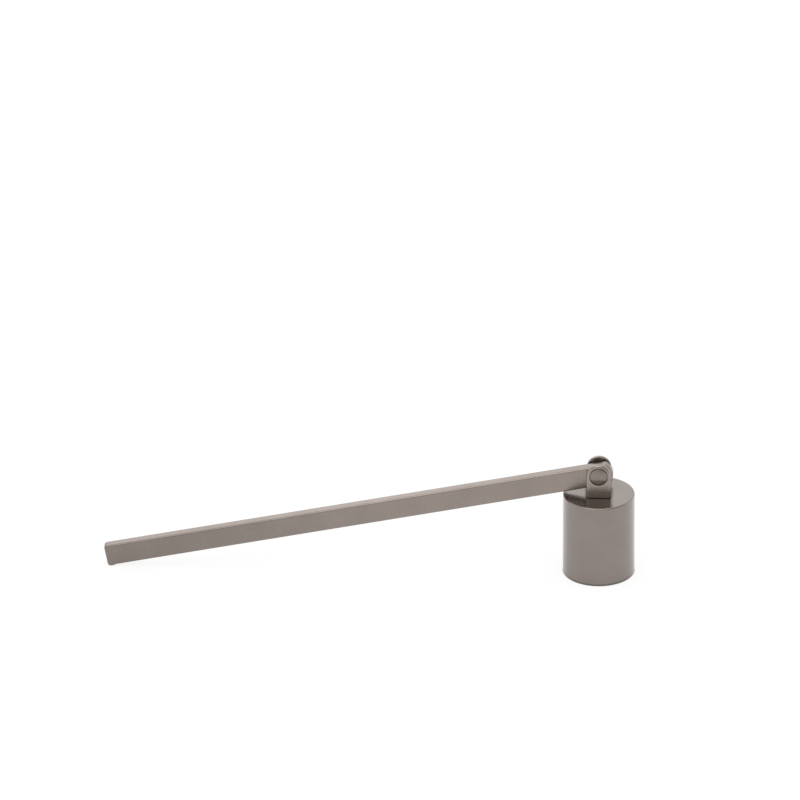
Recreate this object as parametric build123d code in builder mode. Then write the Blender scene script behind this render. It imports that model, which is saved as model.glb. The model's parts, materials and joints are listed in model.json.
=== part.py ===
from build123d import *
import math
import os

os.makedirs("parts", exist_ok=True)

# Candle snuffer: a mouth-down cup with a bar handle hinged on its roof.
# Millimetres, +Z up. The origin is the middle of the cup's mouth, on the table.
# The bar runs towards -X and leans down until its tip lies on the table.
# The pin of the hinge lies along Y, and -Y is the front.

# Cup
cup_diameter = 26.0
cup_height = 31.5
cup_wall = 1.2
cup_roof = 2.0
cup_edge_radius = 0.5
cup_rim_radius = 0.4
cup_corner_radius = 3.0

# Bar handle
bar_length = 187.5
bar_height = 8.0
bar_thickness = 4.0
bar_edge_radius = 0.7
bar_tip_extra = 0.4
bar_end_share = 1.25
bar_corner_radius = 0.6
pivot_above_middle = 1.0

# Pivot pin: a hollow post with a low domed head, closed by a screw from the rear
pivot_diameter = 4.0
pivot_wall = 0.75
pivot_chamfer = 0.2
pivot_play = 0.05
head_lip = 1.15
head_recess = 0.7
head_proud = 0.4
head_gap = 0.35
head_dome = 0.55
dome_edge_radius = 0.3
head_edge_radius = 0.8
post_end_gap = 0.2
thread_length = 4.6
fixed_gap = 0.02
thread_tip_gap = 0.5
drive_slot_width = 0.9
drive_slot_depth = 0.6
drive_angle = 25.0

# Washers on the pin, one on each side of the bar
washer_thickness = 0.6
washer_band = 1.5
bar_play = 0.1

# Yoke
ear_thickness = 1.8
ear_rim = 1.0
ear_edge_radius = 0.9
yoke_foot_radius = 0.25
slot_edge_radius = 0.2
yoke_base = 2.15
swing_gap = 0.69

# Screw and split washer that hold the yoke on the roof, from inside the cup
screw_diameter = 3.0
screw_gap = 0.2
screw_head_lip = 1.3
screw_head_height = 2.0
screw_head_radius = 0.9
screw_chamfer = 0.3
screw_tip_gap = 0.2
cross_span = 3.2
cross_width = 0.8
cross_depth = 1.2
lock_thickness = 0.7
lock_slit = 0.6

# How near the bar's underside may come to the cup's edge, and cuts' overrun
rim_gap = 0.3
overrun = 1.0

# Cup, worked out
cup_radius = cup_diameter / 2
bore_radius = cup_radius - cup_wall
bore_depth = cup_height - cup_roof

# Pivot and bar, worked out
pivot_radius = pivot_diameter / 2
thread_radius = pivot_radius - pivot_wall
head_radius = pivot_radius + head_lip
head_thickness = head_recess + head_proud
recess_radius = head_radius + head_gap
dome_radius = (head_radius ** 2 + head_dome ** 2) / (2 * head_dome)
running_radius = pivot_radius + pivot_play
bar_tip_radius = bar_edge_radius + bar_tip_extra
bar_end_radius = bar_end_share * bar_height / 2
bar_end_run = math.sqrt(bar_end_radius ** 2 - (bar_height / 2) ** 2)
tip_reach = bar_length - bar_end_radius
underside_drop = bar_height / 2 + pivot_above_middle
end_swing = math.hypot(bar_end_run, underside_drop)

# Yoke, worked out
slot_width = bar_thickness + 2 * (washer_thickness + bar_play)
yoke_depth = slot_width + 2 * ear_thickness
ear_width = 2 * (recess_radius + ear_rim)
pivot_height = yoke_base + swing_gap + end_swing
pivot_z = cup_height + pivot_height
slot_floor = cup_height + yoke_base
head_seat = yoke_depth / 2 - head_recess
post_length = 2 * head_seat - post_end_gap

# Lean of the bar: its tip meets the table, or its underside the cup's edge
tip_run = tip_reach - bar_tip_radius
tip_drop = underside_drop - bar_tip_radius
tip_fall = pivot_z - bar_tip_radius
table_lean = math.asin(tip_fall / math.hypot(tip_run, tip_drop)) - math.atan2(tip_drop, tip_run)
rim_fall = pivot_height - rim_gap
rim_lean = math.acos(underside_drop / math.hypot(rim_fall, cup_radius))
rim_lean = rim_lean - math.atan2(cup_radius, rim_fall)
bar_lean = min(table_lean, rim_lean)

# Planes: the pin's, facing the front, and the bar's, along the bar and facing the rear
pivot_plane = Plane(origin=(0, 0, pivot_z), x_dir=(1, 0, 0), z_dir=(0, -1, 0))
bar_direction = (-math.cos(bar_lean), 0, -math.sin(bar_lean))
bar_plane = Plane(origin=(0, 0, pivot_z), x_dir=bar_direction, z_dir=(0, 1, 0))

# Cup: a turned shell with a rounded inner corner and a hole in the roof
with BuildPart() as snuffer_cup:
    with BuildSketch():
        Circle(cup_radius)
    extrude(amount=cup_height)
    fillet(snuffer_cup.edges().group_by(Axis.Z)[-1], cup_edge_radius)
    fillet(snuffer_cup.edges().group_by(Axis.Z)[0], cup_rim_radius)
    with BuildSketch():
        Circle(bore_radius)
    extrude(amount=bore_depth, mode=Mode.SUBTRACT)
    inner_roof = snuffer_cup.faces().filter_by(Axis.Z).sort_by(Axis.Z)[1]
    fillet(inner_roof.edges(), cup_corner_radius)
    with BuildSketch():
        Circle(screw_diameter / 2 + screw_gap)
    extrude(amount=cup_height + overrun, mode=Mode.SUBTRACT)
snuffer_cup.part.label = "snuffer_cup"
export_step(snuffer_cup.part, "parts/snuffer_cup.step")

# Yoke: two round-topped ears on one base, with the bar's slot between them
with BuildPart() as hinge_yoke:
    with BuildSketch(pivot_plane):
        Circle(ear_width / 2)
        with Locations((0, -pivot_height / 2)):
            Rectangle(ear_width, pivot_height)
    extrude(amount=yoke_depth / 2, both=True)
    outer_faces = hinge_yoke.faces().filter_by(Axis.Y)
    outer_edges = outer_faces.edges().filter_by(Axis.Z)
    outer_edges = outer_edges + outer_faces.edges().filter_by(GeomType.CIRCLE)
    fillet(outer_edges, ear_edge_radius)
    fillet(hinge_yoke.edges().group_by(Axis.Z)[0], yoke_foot_radius)
    with BuildSketch(Plane.XY.offset(slot_floor)):
        Rectangle(ear_width + overrun, slot_width)
    extrude(amount=pivot_height + ear_width, mode=Mode.SUBTRACT)
    inner_faces = hinge_yoke.faces().filter_by(Axis.Y).sort_by(Axis.Y)[1:3]
    inner_edges = inner_faces.edges().filter_by(Axis.Z)
    inner_edges = inner_edges + inner_faces.edges().filter_by(GeomType.CIRCLE)
    fillet(inner_edges, slot_edge_radius)
    with BuildSketch(pivot_plane):
        Circle(pivot_radius + fixed_gap)
    extrude(amount=yoke_depth, both=True, mode=Mode.SUBTRACT)
    for side in (1, -1):
        with BuildSketch(pivot_plane.offset(side * head_seat)):
            Circle(recess_radius)
        extrude(amount=side * (head_recess + overrun), mode=Mode.SUBTRACT)
    with BuildSketch():
        Circle(screw_diameter / 2 + fixed_gap)
    extrude(amount=slot_floor + overrun, mode=Mode.SUBTRACT)
hinge_yoke.part.label = "hinge_yoke"
export_step(hinge_yoke.part, "parts/hinge_yoke.step")

# Bar: a flat bar with an arched hinge end, a square tip, eased edges and a hole for the pin
with BuildPart() as handle_bar:
    with BuildSketch(bar_plane) as bar_outline:
        with Locations((0, -pivot_above_middle)):
            Circle(bar_end_radius)
            Rectangle(2 * bar_end_radius, bar_height, mode=Mode.INTERSECT)
        with Locations((tip_reach / 2, -pivot_above_middle)):
            Rectangle(tip_reach, bar_height)
        fillet(bar_outline.vertices().group_by(Axis.X)[-1], bar_tip_radius)
        fillet(bar_outline.vertices().group_by(Axis.X)[0], bar_corner_radius)
    extrude(amount=bar_thickness / 2, both=True)
    fillet(handle_bar.faces().filter_by(Axis.Y).edges(), bar_edge_radius)
    with BuildSketch(bar_plane):
        Circle(running_radius)
    extrude(amount=bar_thickness, both=True, mode=Mode.SUBTRACT)
handle_bar.part.label = "handle_bar"
export_step(handle_bar.part, "parts/handle_bar.step")

# Pivot post: a hollow pin whose low domed head shows on the front ear
with BuildPart() as pivot_post:
    with BuildSketch(pivot_plane.offset(head_seat)):
        Circle(head_radius)
    extrude(amount=head_thickness)
    with Locations(pivot_plane.offset(head_seat + head_thickness - dome_radius)):
        Sphere(dome_radius, mode=Mode.INTERSECT)
    dome_edges = pivot_post.faces().filter_by(GeomType.SPHERE).edges()
    fillet(dome_edges.filter_by(lambda edge: edge.is_closed), dome_edge_radius)
    with BuildSketch(pivot_plane.offset(head_seat)):
        Circle(pivot_radius)
    extrude(amount=-post_length)
    with BuildSketch(pivot_plane.offset(head_seat - post_length)):
        Circle(thread_radius + fixed_gap)
    extrude(amount=thread_length + thread_tip_gap, mode=Mode.SUBTRACT)
    chamfer(pivot_post.edges().group_by(Axis.Y)[-1], pivot_chamfer)
pivot_post.part.label = "pivot_post"
export_step(pivot_post.part, "parts/pivot_post.step")

# Pivot screw: slotted head on the rear ear, threaded into the post
with BuildPart() as pivot_screw:
    with BuildSketch(pivot_plane.offset(-head_seat)):
        Circle(thread_radius)
    extrude(amount=thread_length + post_end_gap)
    chamfer(pivot_screw.edges().group_by(Axis.Y)[0], pivot_chamfer)
    with BuildSketch(pivot_plane.offset(-head_seat)):
        Circle(head_radius)
    extrude(amount=-head_thickness)
    fillet(pivot_screw.edges().group_by(Axis.Y)[-1], head_edge_radius)
    with BuildSketch(pivot_plane.offset(-head_seat - head_thickness)):
        Rectangle(2 * head_radius + overrun, drive_slot_width, rotation=drive_angle)
    extrude(amount=drive_slot_depth, mode=Mode.SUBTRACT)
pivot_screw.part.label = "pivot_screw"
export_step(pivot_screw.part, "parts/pivot_screw.step")

# Washers: each lies on the inner face of its ear, with the bar's play beside it
for washer_name, side in (("front_washer", 1), ("rear_washer", -1)):
    with BuildPart() as bar_washer:
        with BuildSketch(pivot_plane.offset(side * slot_width / 2)):
            Circle(pivot_radius + washer_band)
            Circle(running_radius, mode=Mode.SUBTRACT)
        extrude(amount=-side * washer_thickness)
    bar_washer.part.label = washer_name
    export_step(bar_washer.part, "parts/" + washer_name + ".step")

# Yoke screw: pan head with a cross recess, up through the roof into the yoke's base
screw_seat = bore_depth - lock_thickness
screw_head_diameter = screw_diameter + 2 * screw_head_lip
with BuildPart() as yoke_screw:
    with BuildSketch(Plane.XY.offset(screw_seat)):
        Circle(screw_head_diameter / 2)
    extrude(amount=-screw_head_height)
    fillet(yoke_screw.edges().group_by(Axis.Z)[0], screw_head_radius)
    with BuildSketch(Plane.XY.offset(screw_seat)):
        Circle(screw_diameter / 2)
    extrude(amount=slot_floor - screw_tip_gap - screw_seat)
    chamfer(yoke_screw.edges().group_by(Axis.Z)[-1], screw_chamfer)
    with BuildSketch(Plane.XY.offset(screw_seat - screw_head_height)):
        Rectangle(cross_span, cross_width)
        Rectangle(cross_width, cross_span)
    extrude(amount=cross_depth, mode=Mode.SUBTRACT)
yoke_screw.part.label = "yoke_screw"
export_step(yoke_screw.part, "parts/yoke_screw.step")

# Split washer between the roof and the yoke screw's head, pressed flat
with BuildPart() as lock_washer:
    with BuildSketch(Plane.XY.offset(screw_seat)):
        Circle(screw_head_diameter / 2)
        Circle(screw_diameter / 2 + screw_gap, mode=Mode.SUBTRACT)
        with Locations((screw_head_diameter / 2, 0)):
            Rectangle(screw_head_diameter, lock_slit, mode=Mode.SUBTRACT)
    extrude(amount=lock_thickness)
lock_washer.part.label = "lock_washer"
export_step(lock_washer.part, "parts/lock_washer.step")
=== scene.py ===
import json
import math

import bpy
from mathutils import Matrix, Vector

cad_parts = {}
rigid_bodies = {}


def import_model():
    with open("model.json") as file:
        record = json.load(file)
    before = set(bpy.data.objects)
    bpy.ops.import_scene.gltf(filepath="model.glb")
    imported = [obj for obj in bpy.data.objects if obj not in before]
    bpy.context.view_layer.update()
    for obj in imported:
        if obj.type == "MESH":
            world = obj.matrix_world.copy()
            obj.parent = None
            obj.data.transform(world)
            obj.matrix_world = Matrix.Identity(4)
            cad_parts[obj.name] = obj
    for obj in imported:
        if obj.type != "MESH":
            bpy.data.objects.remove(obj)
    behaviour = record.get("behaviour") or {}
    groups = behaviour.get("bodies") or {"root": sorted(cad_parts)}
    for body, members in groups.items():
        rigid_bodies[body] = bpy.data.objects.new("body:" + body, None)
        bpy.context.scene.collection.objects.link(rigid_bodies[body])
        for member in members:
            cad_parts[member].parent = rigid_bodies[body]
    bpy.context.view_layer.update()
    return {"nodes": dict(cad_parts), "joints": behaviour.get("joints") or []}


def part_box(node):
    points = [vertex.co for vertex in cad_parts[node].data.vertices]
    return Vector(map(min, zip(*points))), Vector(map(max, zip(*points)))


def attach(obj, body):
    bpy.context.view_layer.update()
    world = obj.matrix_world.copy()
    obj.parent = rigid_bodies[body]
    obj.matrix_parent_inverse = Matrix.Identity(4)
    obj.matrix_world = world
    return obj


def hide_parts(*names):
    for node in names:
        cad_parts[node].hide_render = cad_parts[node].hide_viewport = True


# Whatever an empty Blender file brings along goes first.
for leftover in list(bpy.data.objects):
    bpy.data.objects.remove(leftover)

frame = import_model()

bl_info = {
    "name": "Candle Snuffer",
    "version": (1, 0, 0),
    "blender": (4, 5, 0),
    "location": "View3D > Sidebar > Snuffer",
    "description": "Dresses a hinged candle snuffer: turned cup, hinge, bar handle and studio stage",
    "category": "Object",
}

MM = 0.001

# Picture that the camera is set for
PIXELS = 800
SENSOR_MM = 36.0
FAR_CLIP = 100.0

# Spacing of nodes in the editor
NODE_WIDTH = 200
NODE_HEIGHT = 180

# Places, turns and stretches
ORIGIN = (0.0, 0.0, 0.0)
UNTURNED = (0.0, 0.0, 0.0)
EVEN = (1.0, 1.0, 1.0)
ALONG_PIN = (math.pi / 2, 0.0, 0.0)
ALONG_BAR = (6.0, 1.0, 1.0)

# Fineness of rounded corners, and of shading that looks around a point
CUP_ARC_POINTS = 12
WASHER_ARC_POINTS = 4
BEVEL_SAMPLES = 6
OPEN_SAMPLES = 12
SWEEP_RADIUS = 1.0 * MM

# Noise scales, per metre, and the middle part of a noise that is used
CLOUD_SCALE = 90.0
SPECK_SCALE = 900.0
PLATING_SCALE = 700.0
MOULD_SCALE = 4000.0
NOISE_RANGE = (0.3, 0.7)
FULL_RANGE = (0.0, 1.0)

# Satin metal: rubbed edges, painted shade in hollows, near other pieces and towards the bar's tip, and
# spread of roughness
EDGE_REACH = 0.6 * MM
EDGE_RANGE = (0.995, 0.90)
HOLLOW_SHADE_RANGE = (0.25, 0.85)
CONTACT_SHADE_RANGE = (0.5, 0.9)
TIP_SHADE_RANGE = (-160 * MM, -70 * MM)
SATIN_SPREAD = 0.03

# Zinc plate and nylon: shares of the colour, and roughness
ZINC_DARK = (0.82, 0.82, 0.82)
ZINC_WARM = (1.06, 1.04, 1.0)
ZINC_GLOSS = (0.24, 0.42)
NYLON_DARK = (0.7, 0.7, 0.7)
NYLON_LIGHT = (1.5, 1.5, 1.5)
NYLON_DULLNESS = (0.42, 0.62)

# Stage: floor, dim side of the room, and soft boxes with name, place, width, height and level
FLOOR_STEPS = 96
FLOOR_DROP = 0.02 * MM
FLOOR_SHARE = 1.06
DIM_DIRECTION = (0.60, -0.65, 0.47)
DIM_RANGE = (0.5, 1.0)
LIGHT_AIM = (-0.06, 0.0, 0.02)
SOFT_BOXES = (
    ("back_light", (-0.10, 1.10, 0.50), 1.5, 0.80, "back_level"),
    ("bar_light", (-0.45, 1.00, 0.55), 0.46, 0.50, "bar_level"),
    ("top_light", (-0.08, -0.20, 1.0), 0.9, 1.0, "top_level"),
    ("left_light", (-1.05, 0.45, 0.25), 0.9, 0.6, "left_level"),
    ("right_light", (0.95, 0.50, 0.25), 0.9, 0.6, "right_level"),
)

# Places from the frame
cup_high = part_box("snuffer_cup")[1]
front_low, front_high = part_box("front_washer")
rear_low, rear_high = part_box("rear_washer")
pivot = Vector(frame["joints"][0]["pos_m"])


class SnufferCupSizes(bpy.types.PropertyGroup):
    """Sizes of the turned cup."""

    radius: bpy.props.FloatProperty(
        name="Radius", description="Outer radius of the cup", default=cup_high.x,
        min=0.005, unit="LENGTH", precision=5)
    height: bpy.props.FloatProperty(
        name="Height", description="Height from the mouth to the top of the roof", default=cup_high.z,
        min=0.005, unit="LENGTH", precision=5)
    wall: bpy.props.FloatProperty(
        name="Wall", description="Thickness of the side wall", default=1.2 * MM,
        min=0.0002, unit="LENGTH", precision=5)
    roof: bpy.props.FloatProperty(
        name="Roof", description="Thickness of the flat roof", default=2.0 * MM,
        min=0.0002, unit="LENGTH", precision=5)
    edge_radius: bpy.props.FloatProperty(
        name="Top edge", description="Rounding where the roof meets the side", default=0.5 * MM,
        min=0.0, unit="LENGTH", precision=5)
    rim_radius: bpy.props.FloatProperty(
        name="Rim", description="Rounding of the mouth's outer edge", default=0.4 * MM,
        min=0.0, unit="LENGTH", precision=5)
    lip_radius: bpy.props.FloatProperty(
        name="Lip", description="Rounding of the mouth's inner edge", default=0.1 * MM,
        min=0.0, unit="LENGTH", precision=5)
    corner_radius: bpy.props.FloatProperty(
        name="Inner corner", description="Rounding inside, under the roof", default=3.0 * MM,
        min=0.0, unit="LENGTH", precision=5)
    hole_radius: bpy.props.FloatProperty(
        name="Screw hole", description="Radius of the hole in the roof", default=1.7 * MM,
        min=0.0002, unit="LENGTH", precision=5)
    segments: bpy.props.IntProperty(
        name="Segments", description="Steps around the cup", default=256, min=24, max=512)


class SnufferWasherSizes(bpy.types.PropertyGroup):
    """Sizes of the two thin washers beside the bar."""

    radius: bpy.props.FloatProperty(
        name="Radius", description="Outer radius of a washer", default=front_high.x,
        min=0.001, unit="LENGTH", precision=5)
    bore: bpy.props.FloatProperty(
        name="Bore", description="Radius of a washer's hole", default=2.05 * MM,
        min=0.0005, unit="LENGTH", precision=5)
    thickness: bpy.props.FloatProperty(
        name="Thickness", description="Thickness of a washer", default=front_high.y - front_low.y,
        min=0.0001, unit="LENGTH", precision=5)
    spacing: bpy.props.FloatProperty(
        name="Spacing", description="From the middle of one washer to the other's",
        default=(rear_low.y + rear_high.y - front_low.y - front_high.y) / 2,
        min=0.0005, unit="LENGTH", precision=5)
    edge_radius: bpy.props.FloatProperty(
        name="Edge", description="Rounding of a washer's edges", default=0.12 * MM,
        min=0.0, unit="LENGTH", precision=5)
    segments: bpy.props.IntProperty(
        name="Segments", description="Steps around a washer", default=96, min=16, max=256)


class SnufferFinish(bpy.types.PropertyGroup):
    """Colours and grain of the finishes."""

    metal_light: bpy.props.FloatVectorProperty(
        name="Metal, light", description="Lighter tone of the warm grey metal", subtype="COLOR", size=3,
        default=(0.302, 0.257, 0.233), min=0.0, max=1.0)
    metal_dark: bpy.props.FloatVectorProperty(
        name="Metal, dark", description="Darker tone of the warm grey metal", subtype="COLOR", size=3,
        default=(0.276, 0.234, 0.212), min=0.0, max=1.0)
    metal_worn: bpy.props.FloatVectorProperty(
        name="Metal, worn", description="Tone of edges that hands have rubbed", subtype="COLOR", size=3,
        default=(0.367, 0.318, 0.292), min=0.0, max=1.0)
    zinc: bpy.props.FloatVectorProperty(
        name="Zinc", description="Tone of the plated screw under the roof", subtype="COLOR", size=3,
        default=(0.52, 0.53, 0.53), min=0.0, max=1.0)
    nylon: bpy.props.FloatVectorProperty(
        name="Nylon", description="Colour of the washers beside the bar", subtype="COLOR", size=3,
        default=(0.018, 0.017, 0.016), min=0.0, max=1.0)
    grain: bpy.props.FloatProperty(
        name="Grain", description="Size of the satin grain", default=0.35 * MM,
        min=0.00001, unit="LENGTH", precision=6)
    roughness: bpy.props.FloatProperty(
        name="Roughness", description="Middle roughness of the satin metal", default=0.27,
        min=0.02, max=1.0, subtype="FACTOR")
    cup_roughness: bpy.props.FloatProperty(
        name="Cup roughness", description="Middle roughness of the turned cup", default=0.21,
        min=0.02, max=1.0, subtype="FACTOR")
    cup_tone: bpy.props.FloatProperty(
        name="Cup tone", description="Tone of the cup's metal under its lacquer", default=0.945,
        min=0.0, max=1.5, subtype="FACTOR")
    cup_lacquer: bpy.props.FloatProperty(
        name="Cup lacquer", description="Weight of the clear lacquer on the turned cup", default=0.7,
        min=0.0, max=1.0, subtype="FACTOR")
    lacquer_roughness: bpy.props.FloatProperty(
        name="Lacquer roughness", description="Roughness of the clear lacquer", default=0.18,
        min=0.0, max=1.0, subtype="FACTOR")
    pin_tone: bpy.props.FloatProperty(
        name="Pin tone", description="Tone of the pin against the other metal", default=0.92,
        min=0.0, max=1.0, subtype="FACTOR")
    bar_tone: bpy.props.FloatProperty(
        name="Bar tone", description="Tone of the bar against the metal's own", default=1.11,
        min=0.0, max=1.5, subtype="FACTOR")
    bar_lean: bpy.props.FloatProperty(
        name="Bar lean", description="Angle of the bar's grain above the table", default=math.radians(11.2),
        subtype="ANGLE")
    yoke_tone: bpy.props.FloatProperty(
        name="Yoke tone", description="Tone of the yoke against the metal's own", default=1.22,
        min=0.0, max=1.5, subtype="FACTOR")
    # The next tone is painted shade that darkens the bar towards its tip.
    tip_shade_tone: bpy.props.FloatProperty(
        name="Tip shade", description="Tone of the painted shade at the bar's tip end against its hinge end", default=0.87,
        min=0.0, max=1.0, subtype="FACTOR")
    # The next two set the painted shade in a piece's own hollows.
    hollow_shade_tone: bpy.props.FloatProperty(
        name="Painted hollow shade", description="Tone of the painted shade in a piece's own hollows", default=0.35,
        min=0.0, max=1.0, subtype="FACTOR")
    hollow_shade_reach: bpy.props.FloatProperty(
        name="Hollow shade reach", description="How far the painted shade of a hollow spreads", default=0.9 * MM,
        min=0.0, unit="LENGTH", precision=5)
    # The next two set the painted shade on the cup where another piece or the floor stands close.
    contact_shade_tone: bpy.props.FloatProperty(
        name="Painted contact shade", description="Tone of the painted shade where something stands close to the cup", default=0.2,
        min=0.0, max=1.0, subtype="FACTOR")
    contact_shade_reach: bpy.props.FloatProperty(
        name="Contact shade reach", description="How far the painted shade near other pieces spreads", default=1.4 * MM,
        min=0.0, unit="LENGTH", precision=5)


class SnufferStage(bpy.types.PropertyGroup):
    """Floor, light and camera."""

    floor_radius: bpy.props.FloatProperty(
        name="Floor", description="Radius of the round pale floor", default=2.0,
        min=0.2, unit="LENGTH")
    floor_glow: bpy.props.FloatProperty(
        name="Floor white", description="Share of the seen floor's white that no shadow takes away",
        default=0.86, min=0.0, max=1.0, subtype="FACTOR")
    mirror_glow: bpy.props.FloatProperty(
        name="Mirrored white", description="The same share, for the floor as the metal mirrors it",
        default=0.40, min=0.0, max=1.0, subtype="FACTOR")
    # The floor's contact darkening is a painted contact shadow.
    contact: bpy.props.FloatProperty(
        name="Contact", description="How far the painted contact shadow under a touching edge spreads", default=0.4 * MM,
        min=0.0, unit="LENGTH", precision=5)
    dim_side: bpy.props.FloatProperty(
        name="Dim side", description="Brightness of the room's dim side, as the metal mirrors it",
        default=0.54, min=0.0, max=1.0, subtype="FACTOR")
    room: bpy.props.FloatProperty(
        name="Room", description="Light that the white room gives", default=0.70, min=0.0, max=2.0)
    back_level: bpy.props.FloatProperty(
        name="Back light", description="Brightness of the wide soft box behind", default=0.29, min=0.0)
    bar_level: bpy.props.FloatProperty(
        name="Bar light", description="Brightness of the soft box behind the bar", default=0.54, min=0.0)
    top_level: bpy.props.FloatProperty(
        name="Top light", description="Brightness of the soft box above the object", default=1.00, min=0.0)
    left_level: bpy.props.FloatProperty(
        name="Left light", description="Brightness of the soft box on the left", default=0.25, min=0.0)
    right_level: bpy.props.FloatProperty(
        name="Right light", description="Brightness of the soft box on the right", default=0.40, min=0.0)
    camera_height: bpy.props.FloatProperty(
        name="Camera height", description="Angle of the view above the table",
        default=math.radians(27.4714), subtype="ANGLE")
    camera_turn: bpy.props.FloatProperty(
        name="Camera turn", description="Angle of the view from straight ahead",
        default=math.radians(-1.6569), subtype="ANGLE")
    camera_side: bpy.props.FloatProperty(
        name="Camera side", description="How far right of the view's middle the cup's mouth lies",
        default=72.0626 * MM, unit="LENGTH", precision=6)
    camera_rise: bpy.props.FloatProperty(
        name="Camera rise", description="How far above the view's middle the cup's mouth lies",
        default=-61.5249 * MM, unit="LENGTH", precision=6)
    camera_distance: bpy.props.FloatProperty(
        name="Camera distance", description="From the camera to the cup's mouth, along the view",
        default=10886.5878 * MM, unit="LENGTH", precision=5)
    camera_focus: bpy.props.FloatProperty(
        name="Focal length", description="Focal length in pixels of the picture", default=30000.0,
        min=100.0)


def add_node(tree, kind, label, place, **settings):
    """Adds one node with a label, a place in the editor and its settings."""
    node = tree.nodes.new(kind)
    node.label = label
    node.location = (place[0] * NODE_WIDTH, -place[1] * NODE_HEIGHT)
    for key, value in settings.items():
        setattr(node, key, value)
    return node


def join(tree, source, output, target, entry):
    """Links one socket to another."""
    tree.links.new(source.outputs[output], target.inputs[entry])


def add_noise(tree, label, place, path, scale, detail, roughness=0.5):
    """Adds a noise that reads the coordinates of a socket."""
    noise = add_node(tree, "ShaderNodeTexNoise", label, place)
    noise.inputs["Scale"].default_value = scale
    noise.inputs["Detail"].default_value = detail
    noise.inputs["Roughness"].default_value = roughness
    tree.links.new(path, noise.inputs["Vector"])
    return noise


def add_range(tree, label, place, source, taken=FULL_RANGE, given=FULL_RANGE, **settings):
    """Adds a node that takes a socket's values from one range to another."""
    node = add_node(tree, "ShaderNodeMapRange", label, place, **settings)
    for end, value in zip(("From Min", "From Max", "To Min", "To Max"), (*taken, *given)):
        node.inputs[end].default_value = value
    tree.links.new(source, node.inputs["Value"])
    return node


def add_tint(tree, label, place, factor, low, high):
    """Adds a colour that goes from one tone to another as a socket's value rises."""
    tint = add_node(tree, "ShaderNodeMix", label, place, data_type="RGBA")
    tint.inputs["A"].default_value = low
    tint.inputs["B"].default_value = high
    tree.links.new(factor, tint.inputs["Factor"])
    return tint


def add_bump(tree, label, place, height, shader, strength, distance):
    """Adds a bump from a socket's heights and gives it to the shader."""
    bump = add_node(tree, "ShaderNodeBump", label, place)
    bump.inputs["Strength"].default_value = strength
    bump.inputs["Distance"].default_value = distance
    tree.links.new(height, bump.inputs["Height"])
    join(tree, bump, "Normal", shader, "Normal")


def tinted(colour, shares):
    """A colour with each part times its share, and full alpha."""
    return (*(part * share for part, share in zip(colour, shares)), 1.0)


def new_material(name, slot_tone, metallic):
    """Starts a node material and returns it with its tree and its shader."""
    material = bpy.data.materials.new(name)
    material.use_nodes = True
    material.diffuse_color = (*slot_tone, 1.0)
    material.metallic = metallic
    tree = material.node_tree
    tree.nodes.clear()
    output = add_node(tree, "ShaderNodeOutputMaterial", "Surface", (8, 0))
    shader = add_node(tree, "ShaderNodeBsdfPrincipled", name, (7, 0))
    shader.inputs["Metallic"].default_value = metallic
    join(tree, shader, "BSDF", output, "Surface")
    return material, tree, shader


def edge_wear(tree, place):
    """Adds a mask that is 1 on sharp outer edges and 0 on open faces."""
    x, y = place
    round_normal = add_node(tree, "ShaderNodeBevel", "Rounded normal", (x, y), samples=BEVEL_SAMPLES)
    round_normal.inputs["Radius"].default_value = EDGE_REACH
    geometry = add_node(tree, "ShaderNodeNewGeometry", "Face normal", (x, y + 1))
    agree = add_node(tree, "ShaderNodeVectorMath", "Agreement", (x + 1, y), operation="DOT_PRODUCT")
    join(tree, round_normal, "Normal", agree, 0)
    join(tree, geometry, "Normal", agree, 1)
    return add_range(tree, "Edge", (x + 2, y), agree.outputs["Value"], EDGE_RANGE)


def painted_hollow_shade(tree, finish, place):
    """Adds painted shade: a tone that is 1 in the open and falls in the piece's own hollows."""
    x, y = place
    near = add_node(tree, "ShaderNodeAmbientOcclusion", "Openness", (x, y), samples=OPEN_SAMPLES,
                    only_local=True)
    near.inputs["Distance"].default_value = finish.hollow_shade_reach
    return add_range(tree, "Painted hollow shade", (x + 1, y), near.outputs["AO"], HOLLOW_SHADE_RANGE,
                     (finish.hollow_shade_tone, 1.0))


def painted_contact_shade(tree, finish, place):
    """Adds painted shade: a tone that is 1 in the open and falls where another piece or the floor stands
    close.
    """
    x, y = place
    near = add_node(tree, "ShaderNodeAmbientOcclusion", "Openness", (x, y), samples=OPEN_SAMPLES)
    near.inputs["Distance"].default_value = finish.contact_shade_reach
    return add_range(tree, "Painted contact shade", (x + 1, y), near.outputs["AO"], CONTACT_SHADE_RANGE,
                     (finish.contact_shade_tone, 1.0))


def painted_tip_shade(tree, finish, place):
    """Adds painted shade: a tone that is 1 towards the hinge and falls gently towards the bar's tip."""
    x, y = place
    where = add_node(tree, "ShaderNodeTexCoord", "Place on the bar", (x, y))
    axes = add_node(tree, "ShaderNodeSeparateXYZ", "Along the bar", (x + 1, y))
    join(tree, where, "Object", axes, "Vector")
    return add_range(tree, "Painted tip shade", (x + 2, y), axes.outputs["X"], TIP_SHADE_RANGE,
                     (finish.tip_shade_tone, 1.0), interpolation_type="SMOOTHSTEP")


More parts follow.
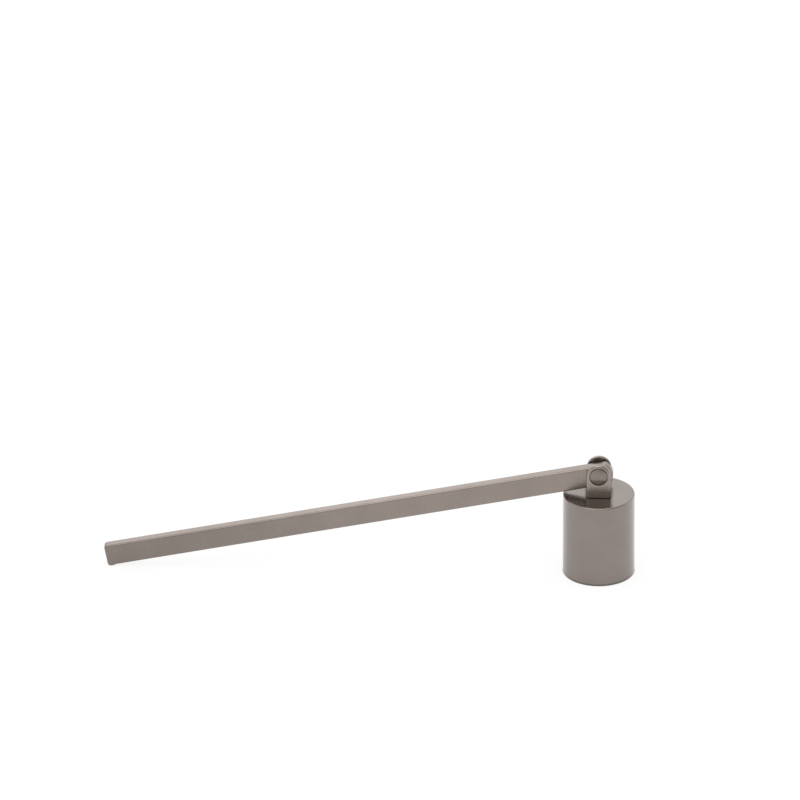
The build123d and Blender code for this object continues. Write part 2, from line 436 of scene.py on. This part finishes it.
def grain_path(tree, where, centre, turn, stretch, turned):
    """Adds the coordinates of a grain, in rings on a turned piece, and returns their socket."""
    lay = add_node(tree, "ShaderNodeMapping", "Lay of the grain", (1, 0), vector_type="TEXTURE")
    lay.inputs["Location"].default_value = centre
    lay.inputs["Rotation"].default_value = turn
    lay.inputs["Scale"].default_value = stretch
    join(tree, where, "Object", lay, "Vector")
    if not turned:
        return lay.outputs["Vector"]
    parts = add_node(tree, "ShaderNodeSeparateXYZ", "Axes", (1, 1))
    flat = add_node(tree, "ShaderNodeCombineXYZ", "Across", (1, 2))
    reach = add_node(tree, "ShaderNodeVectorMath", "From the axis", (1, 3), operation="LENGTH")
    rings = add_node(tree, "ShaderNodeCombineXYZ", "Rings", (1, 4))
    join(tree, lay, "Vector", parts, "Vector")
    join(tree, parts, "X", flat, "X")
    join(tree, parts, "Y", flat, "Y")
    join(tree, flat, "Vector", reach, 0)
    join(tree, reach, "Value", rings, "X")
    join(tree, parts, "Z", rings, "Z")
    return rings.outputs["Vector"]


def satin_metal(name, finish, centre=ORIGIN, turn=UNTURNED, stretch=EVEN, turned=False, roughness=None,
                share=1.0, shade=None, lacquer=0.0):
    """Satin warm grey metal: cloudy tone, fine grain along the work, and rubbed edges.

    The grain is centred at a point, turned and stretched; a turned piece has rings instead. The tone
    can be a share of the metal's, a shade can darken it from place to place, and a clear lacquer can
    lie over it."""
    material, tree, shader = new_material(name, finish.metal_light, 1.0)
    shader.inputs["Coat Weight"].default_value = lacquer
    shader.inputs["Coat Roughness"].default_value = finish.lacquer_roughness
    where = add_node(tree, "ShaderNodeTexCoord", "Place on the piece", (0, 0))
    spot = where.outputs["Object"]
    path = grain_path(tree, where, centre, turn, stretch, turned)
    grain = add_noise(tree, "Grain", (2, 0), path, 1.0 / finish.grain, detail=3.0, roughness=0.55)
    cloud = add_noise(tree, "Cloudy tone", (2, 2), spot, CLOUD_SCALE, detail=4.0, roughness=0.6)
    speck = add_noise(tree, "Satin speck", (2, 4), spot, SPECK_SCALE, detail=2.0)

    shares = (share, share, share)
    spread = add_range(tree, "Tone spread", (3, 2), cloud.outputs["Fac"], NOISE_RANGE)
    tone = add_tint(tree, "Tone", (4, 0), spread.outputs["Result"],
                    tinted(finish.metal_dark, shares), tinted(finish.metal_light, shares))
    edge = edge_wear(tree, (2, 6))
    rub = add_node(tree, "ShaderNodeMath", "Uneven rubbing", (5, 4), operation="MULTIPLY")
    join(tree, edge, "Result", rub, 0)
    join(tree, spread, "Result", rub, 1)
    worn = add_node(tree, "ShaderNodeMix", "Rubbed edges", (6, 0), data_type="RGBA")
    worn.inputs["B"].default_value = tinted(finish.metal_worn, shares)
    join(tree, rub, "Value", worn, "Factor")
    join(tree, tone, "Result", worn, "A")
    # Where a shade is given, it is painted shade that darkens the base colour from place to place.
    if shade is None:
        join(tree, worn, "Result", shader, "Base Color")
    else:
        dark = shade(tree, finish, (2, 9))
        dim = add_node(tree, "ShaderNodeVectorMath", "Dimmed", (6, 1), operation="SCALE")
        join(tree, worn, "Result", dim, "Vector")
        join(tree, dark, "Result", dim, "Scale")
        join(tree, dim, "Vector", shader, "Base Color")

    middle = roughness or finish.roughness
    satin = add_range(tree, "Satin", (5, 2), speck.outputs["Fac"], NOISE_RANGE,
                      (middle - SATIN_SPREAD, middle + SATIN_SPREAD))
    join(tree, satin, "Result", shader, "Roughness")
    add_bump(tree, "Grain height", (6, 4), grain.outputs["Fac"], shader,
             strength=0.12, distance=0.01 * MM)
    return material


def zinc_plate(name, finish):
    """Bright plated steel with a faint cloudy tint, for the screw under the roof."""
    material, tree, shader = new_material(name, finish.zinc, 1.0)
    where = add_node(tree, "ShaderNodeTexCoord", "Place on the piece", (0, 0))
    noise = add_noise(tree, "Plating cloud", (2, 0), where.outputs["Object"], PLATING_SCALE, detail=3.0)
    cloud = noise.outputs["Fac"]
    tint = add_tint(tree, "Plating tint", (4, 0), cloud,
                    tinted(finish.zinc, ZINC_DARK), tinted(finish.zinc, ZINC_WARM))
    join(tree, tint, "Result", shader, "Base Color")
    satin = add_range(tree, "Plating gloss", (4, 2), cloud, given=ZINC_GLOSS)
    join(tree, satin, "Result", shader, "Roughness")
    add_bump(tree, "Plating height", (5, 4), cloud, shader, strength=0.2, distance=0.01 * MM)
    return material


def black_nylon(name, finish):
    """Dull black nylon with a moulded grain."""
    material, tree, shader = new_material(name, finish.nylon, 0.0)
    where = add_node(tree, "ShaderNodeTexCoord", "Place on the piece", (0, 0))
    noise = add_noise(tree, "Moulded grain", (2, 0), where.outputs["Object"], MOULD_SCALE, detail=2.0)
    grain = noise.outputs["Fac"]
    tone = add_tint(tree, "Nylon tone", (4, 0), grain,
                    tinted(finish.nylon, NYLON_DARK), tinted(finish.nylon, NYLON_LIGHT))
    join(tree, tone, "Result", shader, "Base Color")
    dull = add_range(tree, "Dullness", (4, 2), grain, given=NYLON_DULLNESS)
    join(tree, dull, "Result", shader, "Roughness")
    add_bump(tree, "Grain height", (5, 4), grain, shader, strength=0.3, distance=0.02 * MM)
    return material


def new_tree(name, inputs):
    """Starts a Geometry Nodes tree with named inputs and returns it with its ends."""
    tree = bpy.data.node_groups.new(name, "GeometryNodeTree")
    tree.is_modifier = True
    sockets = {}
    for label, kind in inputs:
        sockets[label] = tree.interface.new_socket(label, in_out="INPUT", socket_type=kind)
    tree.interface.new_socket("Geometry", in_out="OUTPUT", socket_type="NodeSocketGeometry")
    start = add_node(tree, "NodeGroupInput", "Sizes", (0, 0))
    end = add_node(tree, "NodeGroupOutput", "Piece", (16, 0))
    return tree, sockets, start, end


def reckon(tree, place, operation, first, second):
    """Adds a Math node whose two entries are sockets or plain numbers, and returns its output."""
    node = add_node(tree, "ShaderNodeMath", operation.title(), place, operation=operation)
    for entry, value in enumerate((first, second)):
        if isinstance(value, bpy.types.NodeSocket):
            tree.links.new(value, node.inputs[entry])
        else:
            node.inputs[entry].default_value = value
    return node.outputs[0]


def set_choice(node, entry, menu_value, attribute, enum_value):
    """Sets a node's choice, as a menu entry where it has one and as a property elsewhere."""
    if entry in node.inputs:
        node.inputs[entry].default_value = menu_value
    else:
        setattr(node, attribute, enum_value)


def outline_curve(tree, places, radii, place, arc_points):
    """Adds a closed outline whose corners are (x, y) sockets, each with its own rounding radius."""
    x, y = place
    points = add_node(tree, "GeometryNodePoints", "Corners", (x, y))
    points.inputs["Count"].default_value = len(places)
    index = add_node(tree, "GeometryNodeInputIndex", "Corner number", (x - 1, y + 2))
    spot = add_node(tree, "GeometryNodeIndexSwitch", "Corner place", (x, y + 2), data_type="VECTOR")
    bend = add_node(tree, "GeometryNodeIndexSwitch", "Corner rounding", (x, y + 4), data_type="FLOAT")
    for node in (spot, bend):
        while len(node.index_switch_items) < len(places):
            node.index_switch_items.new()
        join(tree, index, "Index", node, "Index")
    for number, (across, along) in enumerate(places):
        corner = add_node(tree, "ShaderNodeCombineXYZ", "Corner", (x - 2, y + number))
        tree.links.new(across, corner.inputs["X"])
        tree.links.new(along, corner.inputs["Y"])
        tree.links.new(corner.outputs[0], spot.inputs[number + 1])
        if radii[number] is not None:
            tree.links.new(radii[number], bend.inputs[number + 1])
    tree.links.new(spot.outputs[0], points.inputs["Position"])
    line = add_node(tree, "GeometryNodePointsToCurves", "Outline", (x + 1, y))
    join(tree, points, 0, line, "Points")
    close = add_node(tree, "GeometryNodeSetSplineCyclic", "Closed", (x + 2, y))
    close.inputs["Cyclic"].default_value = True
    join(tree, line, 0, close, 0)
    soften = add_node(tree, "GeometryNodeFilletCurve", "Rounded corners", (x + 3, y))
    set_choice(soften, "Mode", "Poly", "mode", "POLY")
    soften.inputs["Count"].default_value = arc_points
    soften.inputs["Limit Radius"].default_value = True
    tree.links.new(bend.outputs[0], soften.inputs["Radius"])
    join(tree, close, 0, soften, 0)
    return soften


def spin(tree, outline, segments, place):
    """Turns an outline of (distance from the axis, height) once around the Z axis."""
    x, y = place
    circle = add_node(tree, "GeometryNodeCurvePrimitiveCircle", "Way around", (x, y + 2))
    tree.links.new(segments, circle.inputs["Resolution"])
    circle.inputs["Radius"].default_value = SWEEP_RADIUS
    shift = add_node(tree, "GeometryNodeTransform", "From the way around", (x, y))
    shift.inputs["Translation"].default_value = (-SWEEP_RADIUS, 0.0, 0.0)
    shift.inputs["Rotation"].default_value = (math.pi, 0.0, 0.0)
    join(tree, outline, 0, shift, 0)
    sweep = add_node(tree, "GeometryNodeCurveToMesh", "Turned body", (x + 1, y))
    join(tree, circle, 0, sweep, "Curve")
    join(tree, shift, 0, sweep, "Profile Curve")
    outward = add_node(tree, "GeometryNodeFlipFaces", "Faces outward", (x + 2, y))
    join(tree, sweep, 0, outward, 0)
    return outward


def close_tree(tree, body, start, end, place):
    """Smooths, realizes and gives the finish, as the last nodes of a tree."""
    x, y = place
    smooth = add_node(tree, "GeometryNodeSetShadeSmooth", "Smooth", (x, y))
    real = add_node(tree, "GeometryNodeRealizeInstances", "Real mesh", (x + 1, y))
    paint = add_node(tree, "GeometryNodeSetMaterial", "Finish", (x + 2, y))
    join(tree, body, 0, smooth, 0)
    join(tree, smooth, 0, real, 0)
    join(tree, real, 0, paint, 0)
    join(tree, start, "Finish", paint, "Material")
    join(tree, paint, 0, end, 0)


def grow(name, tree, sockets, values):
    """Runs a tree on an empty object and returns the result as a plain mesh object."""
    seed = bpy.data.objects.new(name + "_nodes", bpy.data.meshes.new(name + "_nodes"))
    bpy.context.scene.collection.objects.link(seed)
    modifier = seed.modifiers.new("Nodes", "NODES")
    modifier.node_group = tree
    for label, value in values.items():
        modifier[sockets[label].identifier] = value
    even = seed.modifiers.new("Even shading", "WEIGHTED_NORMAL")
    even.keep_sharp = True
    seed.update_tag()
    graph = bpy.context.evaluated_depsgraph_get()
    mesh = bpy.data.meshes.new_from_object(seed.evaluated_get(graph), depsgraph=graph)
    mesh.name = name
    bpy.data.objects.remove(seed)
    piece = bpy.data.objects.new(name, mesh)
    bpy.context.scene.collection.objects.link(piece)
    if not mesh.polygons:
        raise RuntimeError(f"{name}: its node tree gave no faces")
    return piece


def cup_tree():
    """The cup: one outline of wall and roof, turned around the axis."""
    tree, sockets, start, end = new_tree("Turned Cup", (
        ("Radius", "NodeSocketFloat"),
        ("Height", "NodeSocketFloat"),
        ("Wall", "NodeSocketFloat"),
        ("Roof", "NodeSocketFloat"),
        ("Top Edge", "NodeSocketFloat"),
        ("Rim", "NodeSocketFloat"),
        ("Lip", "NodeSocketFloat"),
        ("Inner Corner", "NodeSocketFloat"),
        ("Screw Hole", "NodeSocketFloat"),
        ("Segments", "NodeSocketInt"),
        ("Finish", "NodeSocketMaterial"),
    ))
    size = start.outputs
    inside = reckon(tree, (1, 0), "SUBTRACT", size["Radius"], size["Wall"])
    ceiling = reckon(tree, (1, 1), "SUBTRACT", size["Height"], size["Roof"])
    ground = reckon(tree, (1, 2), "MULTIPLY", size["Height"], 0.0)
    corners = (
        (size["Screw Hole"], size["Height"]),
        (size["Screw Hole"], ceiling),
        (inside, ceiling),
        (inside, ground),
        (size["Radius"], ground),
        (size["Radius"], size["Height"]),
    )
    roundings = (None, None, size["Inner Corner"], size["Lip"], size["Rim"], size["Top Edge"])
    outline = outline_curve(tree, corners, roundings, (5, 0), CUP_ARC_POINTS)
    body = spin(tree, outline, size["Segments"], (9, 0))
    close_tree(tree, body, start, end, (12, 0))
    return tree, sockets


def washer_tree():
    """The washers: one ring with rounded edges, set on each of two points along the pin."""
    tree, sockets, start, end = new_tree("Washer Pair", (
        ("Radius", "NodeSocketFloat"),
        ("Bore", "NodeSocketFloat"),
        ("Thickness", "NodeSocketFloat"),
        ("Spacing", "NodeSocketFloat"),
        ("Edge", "NodeSocketFloat"),
        ("Pin", "NodeSocketVector"),
        ("Segments", "NodeSocketInt"),
        ("Finish", "NodeSocketMaterial"),
    ))
    size = start.outputs
    top = reckon(tree, (1, 0), "MULTIPLY", size["Thickness"], 0.5)
    bottom = reckon(tree, (1, 1), "MULTIPLY", size["Thickness"], -0.5)
    corners = (
        (size["Bore"], top),
        (size["Bore"], bottom),
        (size["Radius"], bottom),
        (size["Radius"], top),
    )
    roundings = (size["Edge"],) * len(corners)
    outline = outline_curve(tree, corners, roundings, (5, 0), WASHER_ARC_POINTS)
    ring = spin(tree, outline, size["Segments"], (9, 0))
    upright = add_node(tree, "GeometryNodeTransform", "On the pin's axis", (11, 2))
    upright.inputs["Rotation"].default_value = ALONG_PIN
    join(tree, ring, 0, upright, 0)
    half = reckon(tree, (1, 3), "MULTIPLY", size["Spacing"], -0.5)
    before = add_node(tree, "ShaderNodeCombineXYZ", "Front of the bar", (2, 4))
    step = add_node(tree, "ShaderNodeCombineXYZ", "Step to the rear", (2, 5))
    tree.links.new(half, before.inputs["Y"])
    tree.links.new(size["Spacing"], step.inputs["Y"])
    first = add_node(tree, "ShaderNodeVectorMath", "First washer", (3, 4), operation="ADD")
    join(tree, before, 0, first, 0)
    tree.links.new(size["Pin"], first.inputs[1])
    row = add_node(tree, "GeometryNodeMeshLine", "Two places", (9, 5))
    set_choice(row, "Mode", "Offset", "mode", "OFFSET")
    row.inputs["Count"].default_value = 2
    tree.links.new(first.outputs[0], row.inputs["Start Location"])
    tree.links.new(step.outputs[0], row.inputs["Offset"])
    copies = add_node(tree, "GeometryNodeInstanceOnPoints", "Washers", (12, 3))
    join(tree, row, 0, copies, "Points")
    join(tree, upright, 0, copies, "Instance")
    close_tree(tree, copies, start, end, (13, 0))
    return tree, sockets


def dress(node_name, material):
    """Gives a CAD node its finish."""
    for slot in frame["nodes"][node_name].material_slots:
        slot.link = "OBJECT"
        slot.material = material


class SNUFFER_OT_turn_cup(bpy.types.Operator):
    """Turns the cup from its outline and finishes it in satin metal"""

    bl_idname = "snuffer.turn_cup"
    bl_label = "Turn the cup"

    def execute(self, context):
        sizes = context.scene.snuffer_cup
        finish = context.scene.snuffer_finish
        # The cup gets painted shade where other pieces or the floor stand close.
        metal = satin_metal("satin_cup", finish, turned=True, roughness=finish.cup_roughness,
                            share=finish.cup_tone, shade=painted_contact_shade, lacquer=finish.cup_lacquer)
        tree, sockets = cup_tree()
        cup = grow("cup", tree, sockets, {
            "Radius": sizes.radius,
            "Height": sizes.height,
            "Wall": sizes.wall,
            "Roof": sizes.roof,
            "Top Edge": sizes.edge_radius,
            "Rim": sizes.rim_radius,
            "Lip": sizes.lip_radius,
            "Inner Corner": sizes.corner_radius,
            "Screw Hole": sizes.hole_radius,
            "Segments": sizes.segments,
            "Finish": metal,
        })
        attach(cup, "snuffer")
        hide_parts("snuffer_cup")
        return {"FINISHED"}


class SNUFFER_OT_set_washers(bpy.types.Operator):
    """Sets the two nylon washers on the pin, one on each side of the bar"""

    bl_idname = "snuffer.set_washers"
    bl_label = "Set the washers"

    def execute(self, context):
        sizes = context.scene.snuffer_washers
        nylon = black_nylon("dull_nylon", context.scene.snuffer_finish)
        tree, sockets = washer_tree()
        pair = grow("washer_pair", tree, sockets, {
            "Radius": sizes.radius,
            "Bore": sizes.bore,
            "Thickness": sizes.thickness,
            "Spacing": sizes.spacing,
            "Edge": sizes.edge_radius,
            "Pin": pivot[:],
            "Segments": sizes.segments,
            "Finish": nylon,
        })
        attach(pair, "snuffer")
        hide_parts("front_washer", "rear_washer")
        return {"FINISHED"}


class SNUFFER_OT_finish_hinge(bpy.types.Operator):
    """Finishes the yoke and both ends of the pin in satin metal"""

    bl_idname = "snuffer.finish_hinge"
    bl_label = "Finish the hinge"

    def execute(self, context):
        finish = context.scene.snuffer_finish
        # The yoke gets painted shade in its own hollows.
        yoke = satin_metal("satin_yoke", finish, share=finish.yoke_tone, shade=painted_hollow_shade)
        pin = satin_metal("satin_pin", finish, pivot[:], ALONG_PIN, turned=True, share=finish.pin_tone)
        dress("hinge_yoke", yoke)
        dress("pivot_post", pin)
        dress("pivot_screw", pin)
        return {"FINISHED"}


class SNUFFER_OT_finish_bar(bpy.types.Operator):
    """Finishes the bar handle in satin metal with its grain along the bar"""

    bl_idname = "snuffer.finish_bar"
    bl_label = "Finish the bar"

    def execute(self, context):
        finish = context.scene.snuffer_finish
        lean = (0.0, -finish.bar_lean, 0.0)
        # The bar gets painted shade towards its tip.
        metal = satin_metal("satin_bar", finish, pivot[:], lean, ALONG_BAR, share=finish.bar_tone,
                            shade=painted_tip_shade)
        dress("handle_bar", metal)
        return {"FINISHED"}


class SNUFFER_OT_finish_fixings(bpy.types.Operator):
    """Finishes the screw and the split washer under the roof in zinc plate"""

    bl_idname = "snuffer.finish_fixings"
    bl_label = "Finish the fixings"

    def execute(self, context):
        zinc = zinc_plate("zinc_plate", context.scene.snuffer_finish)
        dress("yoke_screw", zinc)
        dress("lock_washer", zinc)
        return {"FINISHED"}


def seen_rays(tree, place):
    """Adds a value that is 1 for rays from the camera, from gloss and through glass."""
    x, y = place
    rays = add_node(tree, "ShaderNodeLightPath", "Rays", (x, y))
    either = add_node(tree, "ShaderNodeMath", "Camera or gloss", (x + 1, y), operation="MAXIMUM")
    seen = add_node(tree, "ShaderNodeMath", "Seen", (x + 2, y), operation="MAXIMUM")
    join(tree, rays, "Is Camera Ray", either, 0)
    join(tree, rays, "Is Glossy Ray", either, 1)
    join(tree, either, "Value", seen, 0)
    join(tree, rays, "Is Transmission Ray", seen, 1)
    return seen


def pale_floor(stage):
    """White floor that keeps a soft shadow, and a painted contact shadow where something stands on it."""
    material = bpy.data.materials.new("pale_floor")
    material.use_nodes = True
    tree = material.node_tree
    tree.nodes.clear()
    output = add_node(tree, "ShaderNodeOutputMaterial", "Floor", (8, 0))
    rays = add_node(tree, "ShaderNodeLightPath", "Rays", (0, 2))
    seen = seen_rays(tree, (0, 0))
    white = add_range(tree, "White share", (2, 1), rays.outputs["Is Camera Ray"],
                      given=(stage.mirror_glow, stage.floor_glow))
    # Painted contact shadow: the floor's white dims where something stands close.
    near = add_node(tree, "ShaderNodeAmbientOcclusion", "Openness", (2, 2), samples=OPEN_SAMPLES)
    near.inputs["Distance"].default_value = stage.contact
    open_white = add_node(tree, "ShaderNodeMath", "Open white", (3, 1), operation="MULTIPLY")
    join(tree, white, "Result", open_white, 0)
    join(tree, near, "AO", open_white, 1)
    seen_white = add_node(tree, "ShaderNodeMath", "Seen white", (4, 0), operation="MULTIPLY")
    join(tree, seen, "Value", seen_white, 0)
    join(tree, open_white, "Value", seen_white, 1)
    rest = add_node(tree, "ShaderNodeMath", "Shadowed share", (4, 2), operation="SUBTRACT")
    rest.inputs[0].default_value = FLOOR_SHARE
    join(tree, white, "Result", rest, 1)
    shade = add_node(tree, "ShaderNodeBsdfDiffuse", "Shadow", (6, 1))
    join(tree, rest, "Value", shade, "Color")
    glow = add_node(tree, "ShaderNodeEmission", "White", (6, 0))
    join(tree, seen_white, "Value", glow, "Strength")
    both = add_node(tree, "ShaderNodeAddShader", "White with shadow", (7, 0))
    join(tree, glow, "Emission", both, 0)
    join(tree, shade, "BSDF", both, 1)
    join(tree, both, "Shader", output, "Surface")
    return material


def lay_floor(stage):
    """A round flat floor, a hair under the table's plane."""
    ring = []
    for number in range(FLOOR_STEPS):
        angle = 2 * math.pi * number / FLOOR_STEPS
        across = stage.floor_radius * math.cos(angle)
        along = stage.floor_radius * math.sin(angle)
        ring.append((across, along, -FLOOR_DROP))
    mesh = bpy.data.meshes.new("floor")
    mesh.from_pydata(ring, [], [range(FLOOR_STEPS)])
    mesh.materials.append(pale_floor(stage))
    floor = bpy.data.objects.new("floor", mesh)
    bpy.context.scene.collection.objects.link(floor)


def white_room(stage):
    """A white world: full white where it is seen, and a plain level where it lights.

    As the metal mirrors it, one side of the room is dim."""
    world = bpy.data.worlds.new("white_room")
    bpy.context.scene.world = world
    world.use_nodes = True
    tree = world.node_tree
    tree.nodes.clear()
    output = add_node(tree, "ShaderNodeOutputWorld", "Room", (6, 0))
    back = add_node(tree, "ShaderNodeBackground", "White", (5, 0))
    seen = seen_rays(tree, (0, 0))
    where = add_node(tree, "ShaderNodeTexCoord", "Direction", (0, 2))
    towards = add_node(tree, "ShaderNodeVectorMath", "Towards the dim side", (1, 2),
                       operation="DOT_PRODUCT")
    towards.inputs[1].default_value = Vector(DIM_DIRECTION).normalized()
    join(tree, where, "Generated", towards, 0)
    dim = add_range(tree, "Dim side", (2, 2), towards.outputs["Value"], DIM_RANGE,
                    (1.0, stage.dim_side), interpolation_type="SMOOTHSTEP")
    rays = add_node(tree, "ShaderNodeLightPath", "Rays", (2, 4))
    mirrored = add_node(tree, "ShaderNodeMix", "Mirrored room", (3, 2), data_type="FLOAT")
    mirrored.inputs["A"].default_value = 1.0
    join(tree, rays, "Is Glossy Ray", mirrored, "Factor")
    join(tree, dim, "Result", mirrored, "B")
    level = add_node(tree, "ShaderNodeMix", "Level", (4, 0), data_type="FLOAT")
    level.inputs["A"].default_value = stage.room
    join(tree, seen, "Value", level, "Factor")
    join(tree, mirrored, "Result", level, "B")
    join(tree, level, "Result", back, "Strength")
    join(tree, back, "Background", output, "Surface")


def soft_light(name, place, width, height, level):
    """A soft box of a given brightness, aimed at the object."""
    data = bpy.data.lights.new(name, "AREA")
    data.shape = "RECTANGLE"
    data.size = width
    data.size_y = height
    data.energy = level * math.pi * width * height
    lamp = bpy.data.objects.new(name, data)
    bpy.context.scene.collection.objects.link(lamp)
    lamp.location = place
    lamp.rotation_euler = (Vector(LIGHT_AIM) - Vector(place)).to_track_quat("-Z", "Y").to_euler()


def photo_camera(stage):
    """The camera at the picture's viewing angle."""
    rise = stage.camera_height
    turn = stage.camera_turn
    ahead = Vector((math.sin(turn) * math.cos(rise), math.cos(turn) * math.cos(rise), -math.sin(rise)))
    right = Vector((math.cos(turn), -math.sin(turn), 0.0))
    up = right.cross(ahead)
    data = bpy.data.cameras.new("view")
    data.sensor_width = SENSOR_MM
    data.lens = stage.camera_focus / PIXELS * SENSOR_MM
    data.clip_end = FAR_CLIP
    camera = bpy.data.objects.new("view", data)
    bpy.context.scene.collection.objects.link(camera)
    pose = Matrix((right, up, -ahead)).transposed().to_4x4()
    mouth = right * stage.camera_side + up * stage.camera_rise + ahead * stage.camera_distance
    pose.translation = -mouth
    camera.matrix_world = pose
    bpy.context.scene.camera = camera


class SNUFFER_OT_set_stage(bpy.types.Operator):
    """Lays the pale floor and sets the light and the camera"""

    bl_idname = "snuffer.set_stage"
    bl_label = "Set the stage"

    def execute(self, context):
        stage = context.scene.snuffer_stage
        lay_floor(stage)
        white_room(stage)
        for name, place, width, height, level in SOFT_BOXES:
            soft_light(name, place, width, height, getattr(stage, level))
        photo_camera(stage)
        context.scene.view_settings.view_transform = "Standard"
        return {"FINISHED"}


class SNUFFER_PT_panel(bpy.types.Panel):
    """Lists the sizes, the finishes and the steps that make the snuffer"""

    bl_idname = "SNUFFER_PT_panel"
    bl_label = "Candle Snuffer"
    bl_space_type = "VIEW_3D"
    bl_region_type = "UI"
    bl_category = "Snuffer"

    def draw(self, context):
        scene = context.scene
        for group in (scene.snuffer_cup, scene.snuffer_washers, scene.snuffer_finish, scene.snuffer_stage):
            box = self.layout.box()
            for name in group.__annotations__:
                box.prop(group, name)
        for step in steps:
            self.layout.operator(step.bl_idname)


steps = (
    SNUFFER_OT_turn_cup,
    SNUFFER_OT_finish_hinge,
    SNUFFER_OT_finish_bar,
    SNUFFER_OT_set_washers,
    SNUFFER_OT_finish_fixings,
    SNUFFER_OT_set_stage,
)
groups = {
    "snuffer_cup": SnufferCupSizes,
    "snuffer_washers": SnufferWasherSizes,
    "snuffer_finish": SnufferFinish,
    "snuffer_stage": SnufferStage,
}


def register():
    """Adds the sizes, the steps and the panel to Blender."""
    for group in groups.values():
        bpy.utils.register_class(group)
    for step in steps:
        bpy.utils.register_class(step)
    bpy.utils.register_class(SNUFFER_PT_panel)
    for name, group in groups.items():
        setattr(bpy.types.Scene, name, bpy.props.PointerProperty(type=group))


def unregister():
    """Takes away what register added."""
    for name in groups:
        delattr(bpy.types.Scene, name)
    bpy.utils.unregister_class(SNUFFER_PT_panel)
    for step in reversed(steps):
        bpy.utils.unregister_class(step)
    for group in groups.values():
        bpy.utils.unregister_class(group)


def main():
    """Makes the snuffer step by step."""
    register()
    bpy.ops.snuffer.turn_cup()
    bpy.ops.snuffer.finish_hinge()
    bpy.ops.snuffer.finish_bar()
    bpy.ops.snuffer.set_washers()
    bpy.ops.snuffer.finish_fixings()
    bpy.ops.snuffer.set_stage()


if __name__ == "__main__":
    main()
